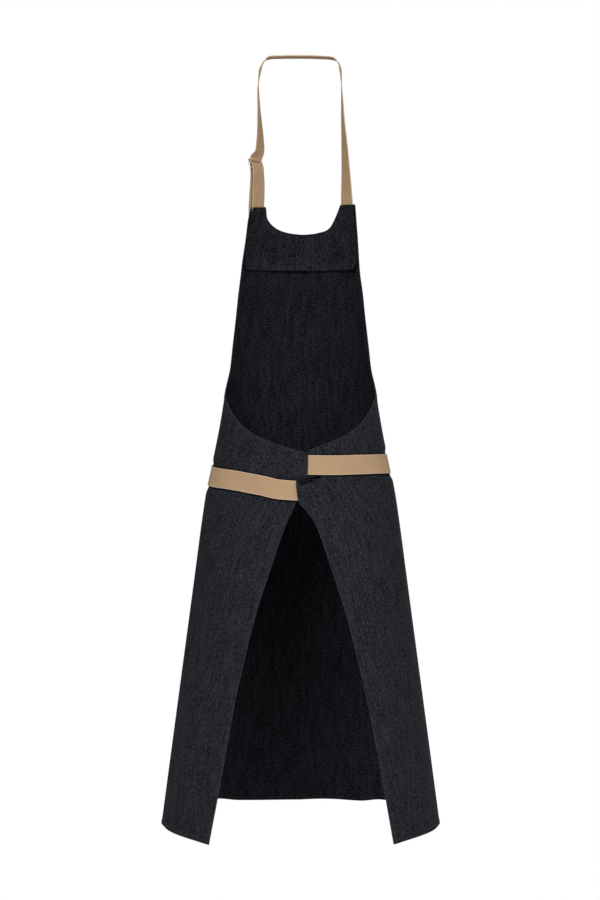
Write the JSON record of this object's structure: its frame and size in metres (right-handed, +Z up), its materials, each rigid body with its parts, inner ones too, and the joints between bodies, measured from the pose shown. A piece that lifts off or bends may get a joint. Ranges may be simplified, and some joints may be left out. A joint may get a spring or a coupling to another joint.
{
  "type": "bib apron",
  "caption": "Dark denim bib apron in its worn form, wrapped and crossed at the back, with tan webbing neck strap, slider and waist ties knotted in front.",
  "frame": {"origin": "middle of the neck strap's underside, where it rests on the back of the wearer's neck", "axes": "+Z up, +Y towards the wearer's front, +X towards the wearer's right"},
  "size_m": [0.361, 0.337, 1.0014],
  "materials": {
    "denim": "matt twill",
    "webbing": "matt woven",
    "steel": "nickel plated"
  },
  "bodies": {
    "root": {"apron_body": "denim", "bib_facing": "denim", "neck_strap": "webbing", "adjuster_strap": "webbing", "strap_slider": "steel", "tie_left": "webbing", "tie_right": "webbing", "tie_knot": "webbing"}
  },
  "joints": []
}
